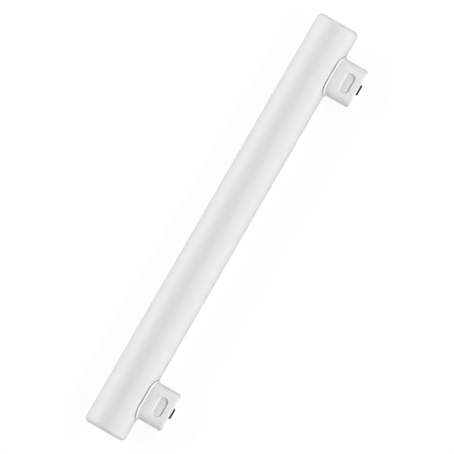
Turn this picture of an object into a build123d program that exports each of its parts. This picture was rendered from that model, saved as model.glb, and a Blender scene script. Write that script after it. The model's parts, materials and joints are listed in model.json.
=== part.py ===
"""Double-capped tubular lamp: a sealed opal tube with two side caps, each with a brass contact.

The lamp is built with its tube along X and its caps pointing up, and is then laid down as it
comes to rest: on the tube and on the lower edge of both caps. Sizes are in millimetres and
angles in degrees.
"""

from build123d import *
from math import asin, atan2, degrees, hypot, radians, tan
import os

# Opal tube, closed at both ends
TUBE_LENGTH = 300.0
TUBE_DIAMETER = 29.0
TUBE_END_ROUND = 3.0

# Cap block: an upright with rounded corners that plugs into the lampholder
CAP_FROM_TUBE_END = 30.95
CAP_LENGTH = 26.5
CAP_WIDTH = 16.6
CAP_HEIGHT = 17.2
CAP_CORNER = 6.0
CAP_EDGE_ROUND = 1.6

# Saddle: the thin foot of the cap, bent round the tube and standing off it at its rim; the
# margin is how far it reaches past the block all round
SADDLE_MARGIN = 1.2
SADDLE_THICKNESS = 0.4
SADDLE_RIM_BEVEL = 0.12
SADDLE_STAND_OFF = 0.5
SEAT_INSET = 1.2

# Recess in both broad sides of the block, where the springs of the lampholder catch; the end
# margin is the flat left between it and the rounded corners, and the floor lies nearer the end
# face than the mouth, so that the wall that holds the spring is the steep one
RECESS_END_MARGIN = 0.3
RECESS_WIDTH = 6.9
RECESS_DEPTH = 1.5
RECESS_HEIGHT = 8.8
RECESS_WALL_LEAN = 25.0
RECESS_FLOOR_SHIFT = 0.5
RECESS_MOUTH_BEVEL = 0.15

# Contact: a pressed brass land with leaning ends that stands proud of the end face, held by a
# foot behind it
CONTACT_LENGTH = 7.9
CONTACT_WIDTH = 5.0
CONTACT_PROUD = 1.25
CONTACT_END_LEAN = 31.0
CONTACT_EDGE_BEVEL = 0.2
CONTACT_FOOT_MARGIN = 1.2
CONTACT_FOOT_THICKNESS = 0.8
CONTACT_FOOT_COVER = 1.2
CONTACT_CLEARANCE = 0.05

# Places worked out from the sizes above
TUBE_RADIUS = TUBE_DIAMETER / 2
CAP_TOP = TUBE_RADIUS + CAP_HEIGHT
CAP_PLACE = TUBE_LENGTH / 2 - CAP_FROM_TUBE_END
SADDLE_LENGTH = CAP_LENGTH + 2 * SADDLE_MARGIN
SADDLE_WIDTH = CAP_WIDTH + 2 * SADDLE_MARGIN
SADDLE_CORNER = CAP_CORNER + SADDLE_MARGIN
SADDLE_INNER = TUBE_RADIUS + SADDLE_STAND_OFF
SADDLE_OUTER = SADDLE_INNER + SADDLE_THICKNESS
SADDLE_MIDDLE = (SADDLE_INNER + SADDLE_OUTER) / 2
RECESS_LENGTH = CAP_LENGTH - 2 * CAP_CORNER - 2 * RECESS_END_MARGIN
CONTACT_FOOT_TOP = CAP_TOP - CONTACT_FOOT_COVER
CONTACT_FOOT_BOTTOM = CONTACT_FOOT_TOP - CONTACT_FOOT_THICKNESS


def opal_tube():
    """A round bar with rounded ends, turned about X."""
    bar = Rot(0, 90, 0) * Cylinder(TUBE_RADIUS, TUBE_LENGTH)
    return fillet(bar.edges().filter_by(GeomType.CIRCLE), TUBE_END_ROUND)


def upright(outline, bottom, top):
    """A prism along Z with this outline, from one height to another."""
    return extrude(Plane.XY.offset(bottom) * outline, top - bottom)


def bent_plate(inner, outer, length, width, corner):
    """A plate bent round the tube's axis, with square edges and rounded corners.

    It is what a sleeve round the axis has in common with two upright slabs. Each slab leans out
    until one long edge of it lies square to the sleeve. The width is measured straight across,
    from edge to edge, at the inner face.
    """
    lean = degrees(asin(width / 2 / inner))
    slab_width = 3 * outer
    plate = Rot(0, 90, 0) * (Cylinder(outer, length) - Cylinder(inner, length))
    for side in (1, -1):
        outline = Pos(0, -side * slab_width / 2) * RectangleRounded(length, slab_width, corner)
        plate = plate & Rot(-side * lean, 0, 0) * extrude(outline, 2 * outer)
    return plate


def saddle():
    """The bent foot, with an inset seat under it that meets the tube."""
    foot = bent_plate(SADDLE_INNER, SADDLE_OUTER, SADDLE_LENGTH, SADDLE_WIDTH, SADDLE_CORNER)
    foot = chamfer(foot.faces().sort_by(SortBy.AREA)[-1].edges(), SADDLE_RIM_BEVEL)
    seat = bent_plate(
        TUBE_RADIUS,
        SADDLE_MIDDLE,
        SADDLE_LENGTH - 2 * SEAT_INSET,
        SADDLE_WIDTH - 2 * SEAT_INSET,
        SADDLE_CORNER - SEAT_INSET,
    )
    return foot + seat


def cap_block():
    """The upright of the cap, hollowed below to follow the saddle."""
    block = upright(RectangleRounded(CAP_LENGTH, CAP_WIDTH, CAP_CORNER), 0, CAP_TOP)
    block = fillet(block.faces().sort_by(Axis.Z)[-1].edges(), CAP_EDGE_ROUND)
    return block - Rot(0, 90, 0) * Cylinder(SADDLE_MIDDLE, 2 * CAP_LENGTH)


def recess(side):
    """A long round-ended dish in one broad side of the block; side is +1 or -1 along Y."""
    mouth_plane = Plane(
        origin=(0, side * CAP_WIDTH / 2, TUBE_RADIUS + RECESS_HEIGHT),
        x_dir=(side, 0, 0),
        z_dir=(0, side, 0),
    )
    draw_in = 2 * RECESS_DEPTH * tan(radians(RECESS_WALL_LEAN))
    mouth = mouth_plane * SlotOverall(RECESS_LENGTH, RECESS_WIDTH)
    floor_outline = SlotOverall(RECESS_LENGTH - draw_in, RECESS_WIDTH - draw_in)
    floor = mouth_plane.offset(-RECESS_DEPTH) * Pos(0, -RECESS_FLOOR_SHIFT) * floor_outline
    return loft([mouth, floor])


def contact_stem(grow=0.0):
    """The foot and neck of the contact; grow widens them to the room that they need in the cap."""
    length = CONTACT_LENGTH + 2 * grow
    width = CONTACT_WIDTH + 2 * grow
    margin = 2 * CONTACT_FOOT_MARGIN
    foot = upright(Rectangle(length + margin, width + margin), CONTACT_FOOT_BOTTOM, CONTACT_FOOT_TOP + grow)
    neck = upright(Rectangle(length, width), CONTACT_FOOT_BOTTOM, CAP_TOP)
    return foot + neck


def contact():
    """The brass contact: its stem, with a land that narrows to the face that the lampholder touches."""
    half_base = CONTACT_LENGTH / 2
    half_face = half_base - CONTACT_PROUD * tan(radians(CONTACT_END_LEAN))
    land_top = CAP_TOP + CONTACT_PROUD
    profile = Polygon(
        (-half_base, CAP_TOP),
        (half_base, CAP_TOP),
        (half_face, land_top),
        (-half_face, land_top),
        align=None,
    )
    land = extrude(Plane.XZ * profile, CONTACT_WIDTH / 2, both=True)
    land = chamfer(land.faces().sort_by(Axis.Z)[-1].edges(), CONTACT_EDGE_BEVEL)
    return contact_stem() + land


def cap():
    """The white moulding: block and saddle in one, with its recesses and the room for the contact."""
    block = cap_block()
    foot = saddle()
    moulding = block + foot - recess(1) - recess(-1)
    broad_sides = moulding.faces().filter_by(Axis.Y).sort_by(Axis.Y)
    mouths = broad_sides[0].inner_wires() + broad_sides[-1].inner_wires()
    moulding = chamfer(mouths.edges(), RECESS_MOUTH_BEVEL)
    return moulding - contact_stem(CONTACT_CLEARANCE)


def rest_tilt():
    """How far the caps dip below level when tube and cap edges lie on one flat surface.

    The edge of the cap is a small circle of the edge's rounding. The line from the tube's axis
    to its centre falls until the tube and this circle touch the same level.
    """
    out = CAP_TOP - CAP_EDGE_ROUND
    across = CAP_WIDTH / 2 - CAP_EDGE_ROUND
    fall = asin((TUBE_RADIUS - CAP_EDGE_ROUND) / hypot(out, across))
    return degrees(fall - atan2(across, out))


def laid_down(pieces):
    """All pieces at rest, with the origin on the surface, under the middle of the lamp's box."""
    turned = {name: Rot(90 + rest_tilt(), 0, 0) * piece for name, piece in pieces.items()}
    box = Compound(list(turned.values())).bounding_box()
    place = Pos(-box.center().X, -box.center().Y, -box.min.Z)
    return {name: place * piece for name, piece in turned.items()}


def lamp():
    """Every piece of the lamp by name, tube along X and caps up."""
    pieces = {"opal_tube": opal_tube()}
    for end, side in (("left", -1), ("right", 1)):
        place = Pos(side * CAP_PLACE, 0, 0)
        pieces[end + "_cap"] = place * cap()
        pieces[end + "_contact"] = place * contact()
    return pieces


os.makedirs("parts", exist_ok=True)
for name, piece in laid_down(lamp()).items():
    export_step(piece, f"parts/{name}.step")
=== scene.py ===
"""Looks and light for the tubular lamp with two side caps.

The lamp lies on a white table, on its tube and on the lower edges of its caps. The camera looks
square onto the broad sides of the caps, and long soft lamps stand along both sides of the tube.
Lengths are in metres and angles in degrees.
"""

import json
import math

import bpy
import numpy as np
from mathutils import Matrix, Vector


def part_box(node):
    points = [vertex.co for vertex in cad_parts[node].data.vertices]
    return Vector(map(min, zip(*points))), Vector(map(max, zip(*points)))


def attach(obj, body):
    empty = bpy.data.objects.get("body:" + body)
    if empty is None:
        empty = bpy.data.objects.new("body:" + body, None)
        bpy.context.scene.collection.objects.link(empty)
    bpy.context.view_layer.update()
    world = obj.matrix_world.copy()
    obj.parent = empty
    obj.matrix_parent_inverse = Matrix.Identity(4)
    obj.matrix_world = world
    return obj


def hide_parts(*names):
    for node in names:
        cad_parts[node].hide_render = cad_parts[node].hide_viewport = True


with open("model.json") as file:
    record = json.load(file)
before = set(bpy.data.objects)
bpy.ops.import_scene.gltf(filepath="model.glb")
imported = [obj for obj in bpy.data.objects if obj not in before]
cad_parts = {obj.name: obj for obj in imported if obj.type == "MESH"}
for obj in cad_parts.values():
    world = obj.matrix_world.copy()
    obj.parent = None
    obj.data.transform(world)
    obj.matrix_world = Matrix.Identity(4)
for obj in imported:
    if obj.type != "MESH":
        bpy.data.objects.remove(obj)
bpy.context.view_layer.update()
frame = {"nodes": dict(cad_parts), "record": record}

# Tube: the rounding of its ends, and how many points its surface has round the axis and on each
# stretch of its outline
TUBE_END_ROUND = 0.003
POINTS_AROUND = 240
POINTS_ON_FLAT = 6
POINTS_ON_ROUND = 17
POINTS_ON_SIDE = 50

# White plastics: how they bend and throw back light, and the coat on them, which hardly bends it
# and whose tint is painted shade towards their outlines
PLASTIC_IOR = 1.47
PLASTIC_GLOSS = 0.3
COAT_IOR = 1.01

# Table: how far it reaches each way, how far it lies below the lamp, so that the two never share
# a face, and how much it glows where it is seen
TABLE_REACH = 9.0
TABLE_DROP = 0.00005
TABLE_GLOW = 0.87

# Dark curtain over the lamp: how far off it hangs, and how far it reaches each way
CURTAIN_DISTANCE = 3.4
CURTAIN_REACH = 1.8

# Light of the room, and the soft lamps round the tube, each with its name, its angles around and
# beside the tube, its breadth, its height and its brightness
ROOM_LIGHT = 0.02
LAMP_DISTANCE = 4.0
SOFT_LAMPS = (
    ("high_lamp_before_caps", 35, 0, 4.6, 0.8, 8.3),
    ("high_lamp_to_the_right", 25, 50, 2.6, 0.9, 7.7),
    ("low_lamp_before_caps", 72, 0, 4.6, 0.5, 5.0),
    ("low_lamp_to_the_left", 70, -45, 2.6, 0.7, 6.4),
    ("high_lamp_behind_tube", -63, 0, 4.6, 0.9, 5.9),
    ("low_lamp_behind_tube", -89.5, 0, 4.6, 1.6, 5.65),
)

# Picture: its width at the lamp, how far the tube leans to the right in it, and how far its
# middle lies to the right of the tube's and below it; the lens and its sensor are in
# millimetres, and the camera sees this many times as far as the lamp
PICTURE_WIDTH = 0.2893
PICTURE_TURN = 30.016
PICTURE_RIGHT = 0.0034
PICTURE_DOWN = 0.00007
LENS_LENGTH = 1600
SENSOR_WIDTH = 36
FAR_SIGHT = 3

# Directions of the lamp: along its tube, out of its caps, and out of the caps' broad sides
along = Vector((1, 0, 0))
mounts = {mount["name"]: mount for mount in frame["record"]["mounts"]}
plug_axis = Vector(mounts["right_contact_face"]["axis"]).normalized()
facing = plug_axis.cross(along)

# Place and size of the tube
tube_low, tube_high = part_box("opal_tube")
tube_middle = (tube_low + tube_high) / 2
tube_length = tube_high.x - tube_low.x
tube_radius = min(tube_high.y - tube_low.y, tube_high.z - tube_low.z) / 2


class Value:
    """A socket's value. Sums and products with other values or numbers add Math nodes."""

    def __init__(self, nodes, socket):
        self.nodes = nodes
        self.socket = socket

    def __add__(self, other):
        return self.nodes.maths("ADD", self, other)

    def __radd__(self, other):
        return self.nodes.maths("ADD", other, self)

    def __mul__(self, other):
        return self.nodes.maths("MULTIPLY", self, other)

    def __rmul__(self, other):
        return self.nodes.maths("MULTIPLY", other, self)


class Nodes:
    """The empty node tree of a material or of the world, filled node by node."""

    def __init__(self, owner):
        owner.use_nodes = True
        self.tree = owner.node_tree
        self.tree.nodes.clear()

    def add(self, kind, settings=None, inputs=None, output=0):
        """Adds a node, sets its settings, then its sockets by name or number.

        It gives the value of one output, by name or number too.
        """
        node = self.tree.nodes.new("ShaderNode" + kind)
        for name, setting in (settings or {}).items():
            setattr(node, name, setting)
        for name, value in (inputs or {}).items():
            if isinstance(value, Value):
                self.tree.links.new(value.socket, node.inputs[name])
            else:
                node.inputs[name].default_value = value
        return Value(self, node.outputs[output]) if node.outputs else None

    def maths(self, operation, first, second):
        """One Math node on two values or numbers."""
        return self.add("Math", {"operation": operation}, {0: first, 1: second})

    def blend(self, factor, first, second):
        """A colour between two colours: output 2 of a Mix node with the two in sockets 6 and 7."""
        settings = {"data_type": "RGBA", "clamp_factor": True}
        return self.add("Mix", settings, {0: factor, 6: first, 7: second}, 2)

    def place(self):
        """Where a point of a piece lies."""
        return self.add("TexCoord", output="Object")

    def noise(self, place, spots, detail):
        """Noise from 0 to 1, with this many spots to a metre along each axis."""
        stretched = self.add("VectorMath", {"operation": "MULTIPLY"}, {0: place, 1: spots})
        return self.add("TexNoise", inputs={"Vector": stretched, "Scale": 1.0, "Detail": detail})

    def bump(self, height, depth, strength):
        """The normal of a surface whose height from 0 to 1 stands for this depth."""
        return self.add("Bump", inputs={"Height": height, "Distance": depth, "Strength": strength})

    def seen_directly(self):
        """1 for rays that show a background, from the camera, a gloss or through glass, else 0."""
        rays = ("Is Camera Ray", "Is Glossy Ray", "Is Transmission Ray")
        camera, glossy, through = (self.add("LightPath", output=ray) for ray in rays)
        return self.maths("MAXIMUM", self.maths("MAXIMUM", camera, glossy), through)

    def finish(self, shader, kind="OutputMaterial"):
        """Puts the shader on the surface."""
        self.add(kind, inputs={"Surface": shader})


def grey(level):
    """A grey of this level, which is white at 1."""
    return (level, level, level, 1)


def plastic_with_painted_outline_shade(nodes, colour, roughness, normal, coat_roughness, outline_shade_tint):
    """Plastic under a tinted clear coat, whose tint is painted shade.

    Light runs further through the coat where the surface turns away, so that the coat darkens
    the plastic towards its outlines.
    """
    return nodes.add(
        "BsdfPrincipled",
        inputs={
            "Base Color": colour,
            "Roughness": roughness,
            "Normal": normal,
            "IOR": PLASTIC_IOR,
            "Specular IOR Level": PLASTIC_GLOSS,
            "Coat Weight": 1.0,
            "Coat IOR": COAT_IOR,
            "Coat Roughness": coat_roughness,
            "Coat Tint": outline_shade_tint,
        },
    )


def satin_opal():
    """White opal plastic with a satin skin, drawn lengthwise, so its faint streaks run that way."""
    material = bpy.data.materials.new("satin_opal")
    nodes = Nodes(material)
    place = nodes.place()
    streaks = nodes.noise(place, (4.0, 420.0, 420.0), 3.0)
    clouds = nodes.noise(place, (28.0, 60.0, 60.0), 2.0)
    cool_white = (0.798, 0.800, 0.798, 1)
    warm_white = (0.817, 0.815, 0.812, 1)
    skin = plastic_with_painted_outline_shade(
        nodes,
        colour=nodes.blend(clouds, cool_white, warm_white),
        roughness=0.42 + 0.06 * streaks + 0.04 * clouds,
        normal=nodes.bump(streaks, depth=0.00002, strength=0.2),
        coat_roughness=0.5,
        # painted shade: the grey coat tint darkens the opal towards its outlines
        outline_shade_tint=grey(0.91),
    )
    nodes.finish(skin)
    return material


def moulded_white():
    """White plastic from a finely eroded mould: a matt grain of a third of a millimetre."""
    material = bpy.data.materials.new("moulded_white")
    nodes = Nodes(material)
    place = nodes.place()
    grain = nodes.noise(place, (3200.0, 3200.0, 3200.0), 2.0)
    flow = nodes.noise(place, (90.0, 140.0, 140.0), 2.0)
    dull_white = (0.896, 0.896, 0.893, 1)
    clear_white = (0.915, 0.915, 0.911, 1)
    skin = plastic_with_painted_outline_shade(
        nodes,
        colour=nodes.blend(flow, dull_white, clear_white),
        roughness=0.46 + 0.14 * grain,
        normal=nodes.bump(grain, depth=0.00003, strength=0.2),
        coat_roughness=0.6,
        # painted shade: the grey coat tint darkens the caps' plastic towards their outlines
        outline_shade_tint=grey(0.895),
    )
    nodes.finish(skin)
    return material


def pressed_brass():
    """Brass strip, rolled lengthwise and darkened in patches by handling."""
    material = bpy.data.materials.new("pressed_brass")
    nodes = Nodes(material)
    place = nodes.place()
    rolling = nodes.noise(place, (250.0, 9000.0, 9000.0), 3.0)
    tarnish = nodes.noise(place, (700.0, 700.0, 700.0), 4.0)
    bare_brass = (0.30, 0.21, 0.083, 1)
    dark_brass = (0.14, 0.095, 0.036, 1)
    skin = nodes.add(
        "BsdfPrincipled",
        inputs={
            "Base Color": nodes.blend(tarnish, bare_brass, dark_brass),
            "Metallic": 1.0,
            "Roughness": 0.12 + 0.12 * tarnish + 0.06 * rolling,
            "Normal": nodes.bump(rolling, depth=0.00001, strength=0.3),
        },
    )
    nodes.finish(skin)
    return material


def tube_outline():
    """Places x and radii r of the tube's outline, from its right end to its left.

    It runs outwards over the flat of the end, round a quarter circle, along the side, and over
    the other end in the same way. The middles of the ends aren't in it.
    """
    half = tube_length / 2
    flat_r = np.linspace(0, tube_radius - TUBE_END_ROUND, POINTS_ON_FLAT)[1:-1]
    turn = np.linspace(0, np.pi / 2, POINTS_ON_ROUND)
    end_x = np.concatenate([np.full(flat_r.size, half), half - TUBE_END_ROUND * (1 - np.cos(turn))])
    end_r = np.concatenate([flat_r, tube_radius - TUBE_END_ROUND * (1 - np.sin(turn))])
    side_x = np.linspace(end_x[-1], -end_x[-1], POINTS_ON_SIDE)[1:-1]
    x = np.concatenate([end_x, side_x, -end_x[::-1]])
    r = np.concatenate([end_r, np.full(side_x.size, tube_radius), end_r[::-1]])
    return x, r


def turned_tube(material):
    """The opal tube as a surface of revolution about its own axis.

    Each point of its outline, at place x and radius r, is carried round the axis to
    (x, r cos a, r sin a). Four neighbours make a face, and the first and last ring are closed
    with triangles to the middle of their end.
    """
    x, r = tube_outline()
    around = np.linspace(0, 2 * np.pi, POINTS_AROUND, endpoint=False)
    rings = np.stack(
        [
            np.broadcast_to(x[:, None], (x.size, around.size)),
            r[:, None] * np.cos(around),
            r[:, None] * np.sin(around),
        ],
        axis=-1,
    ).reshape(-1, 3)
    middles = np.array([(x[0], 0, 0), (x[-1], 0, 0)])
    points = np.concatenate([rings, middles]) + np.array(tube_middle)
    index = np.arange(len(rings)).reshape(x.size, around.size)
    beside = np.roll(index, -1, axis=1)
    quads = np.stack([index[:-1], index[1:], beside[1:], beside[:-1]], axis=-1).reshape(-1, 4)
    first = np.stack([np.full(around.size, len(rings)), index[0], beside[0]], axis=-1)
    last = np.stack([np.full(around.size, len(rings) + 1), beside[-1], index[-1]], axis=-1)
    mesh = bpy.data.meshes.new("tube_skin")
    mesh.from_pydata(points.tolist(), [], quads.tolist() + first.tolist() + last.tolist())
    mesh.shade_smooth()
    mesh.materials.append(material)
    tube = bpy.data.objects.new("tube_skin", mesh)
    bpy.context.scene.collection.objects.link(tube)
    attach(tube, "root")
    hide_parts("opal_tube")


def dress(node, material):
    """Gives a CAD node its finish."""
    mesh = frame["nodes"][node].data
    mesh.materials.clear()
    mesh.materials.append(material)


def flat_sheet(name, middle, first, second, reach, material):
    """A flat square.

    Its points are its middle plus i and j times its reach along two directions, with i and j
    from -1 to 1.
    """
    signs = ((-1, -1), (1, -1), (1, 1), (-1, 1))
    corners = [middle + reach * (i * first + j * second) for i, j in signs]
    mesh = bpy.data.meshes.new(name)
    mesh.from_pydata(corners, [], [(0, 1, 2, 3)])
    mesh.materials.append(material)
    sheet = bpy.data.objects.new(name, mesh)
    bpy.context.scene.collection.objects.link(sheet)
    return sheet


def table():
    """A white table top.

    Where it is seen, it is dim with a white glow, which leaves the lamp's shadow on it faint.
    Where it only throws light on the lamp, it is plain white.
    """
    material = bpy.data.materials.new("table_top")
    nodes = Nodes(material)
    seen = nodes.seen_directly()
    speckle = nodes.noise(nodes.place(), (900.0, 900.0, 900.0), 2.0)
    white = nodes.blend(speckle, grey(0.77), grey(0.79))
    dim = nodes.blend(speckle, grey(0.15), grey(0.17))
    glow = nodes.blend(seen, grey(0), grey(TABLE_GLOW))
    lit = nodes.add("BsdfDiffuse", inputs={"Color": nodes.blend(seen, white, dim)})
    glowing = nodes.add("Emission", inputs={"Color": glow, "Strength": 1.0})
    nodes.finish(nodes.add("AddShader", inputs={0: lit, 1: glowing}))
    middle = Vector((0, 0, -TABLE_DROP))
    across = Vector((0, 1, 0))
    top = flat_sheet("table_top", middle, along, across, TABLE_REACH, material)


def curtain():
    """A dark cloth hung over the lamp, out of the camera's sight, which the flat brass reflects."""
    material = bpy.data.materials.new("dark_curtain")
    nodes = Nodes(material)
    nodes.finish(nodes.add("BsdfDiffuse", inputs={"Color": grey(0.02)}))
    middle = tube_middle + CURTAIN_DISTANCE * facing
    cloth = flat_sheet("dark_curtain", middle, along, plug_axis, CURTAIN_REACH, material)
    cloth.visible_camera = False


def surroundings():
    """A white room: plain white where it is seen, and dim where it only gives light."""
    world = bpy.data.worlds.new("white_room")
    bpy.context.scene.world = world
    nodes = Nodes(world)
    room = nodes.add("Background", inputs={"Color": grey(1), "Strength": ROOM_LIGHT})
    shown = nodes.add("Background", inputs={"Color": grey(1), "Strength": 1.0})
    both = nodes.add("MixShader", inputs={0: nodes.seen_directly(), 1: room, 2: shown})
    nodes.finish(both, "OutputWorld")


def between(first, second, degrees):
    """The direction this far from the first direction towards the second, which is square to it."""
    angle = math.radians(degrees)
    return math.cos(angle) * first + math.sin(angle) * second


def stand(thing, place, right, up, back):
    """Sets up a lamp or a camera at a place, with its own three axes along these directions."""
    thing.matrix_world = Matrix((right, up, back)).transposed().to_4x4()
    thing.location = place
    bpy.context.scene.collection.objects.link(thing)


def soft_lamp(name, around, beside, breadth, height, brightness):
    """A flat lamp that faces the middle of the tube.

    Around is its angle from the camera's side towards the caps, and beside is its angle from
    there towards the right end. Its breadth lies along the tube. Brightness is what a white card
    right in front of it would show.
    """
    light = bpy.data.lights.new(name, "AREA")
    light.shape = "RECTANGLE"
    light.size = breadth
    light.size_y = height
    light.energy = brightness * math.pi * breadth * height
    back = between(between(facing, plug_axis, around), along, beside)
    level = (along - back.dot(along) * back).normalized()
    lamp = bpy.data.objects.new(name, light)
    lamp.visible_camera = False
    stand(lamp, tube_middle + LAMP_DISTANCE * back, level, back.cross(level), back)


def square_camera():
    """A far camera with a very long lens, square to the caps' broad sides."""
    right = between(plug_axis, along, PICTURE_TURN)
    up = between(along, -plug_axis, PICTURE_TURN)
    data = bpy.data.cameras.new("camera")
    data.lens = LENS_LENGTH
    data.sensor_width = SENSOR_WIDTH
    distance = PICTURE_WIDTH * data.lens / data.sensor_width
    data.clip_end = FAR_SIGHT * distance
    camera = bpy.data.objects.new("camera", data)
    place = tube_middle + PICTURE_RIGHT * right - PICTURE_DOWN * up + distance * facing
    stand(camera, place, right, up, facing)
    bpy.context.scene.camera = camera


turned_tube(satin_opal())
cap_plastic = moulded_white()
contact_metal = pressed_brass()
for side in ("left", "right"):
    dress(side + "_cap", cap_plastic)
    dress(side + "_contact", contact_metal)

table()
curtain()
surroundings()
for entry in SOFT_LAMPS:
    soft_lamp(*entry)
square_camera()
bpy.context.scene.view_settings.view_transform = "Standard"

bpy.context.view_layer.update()
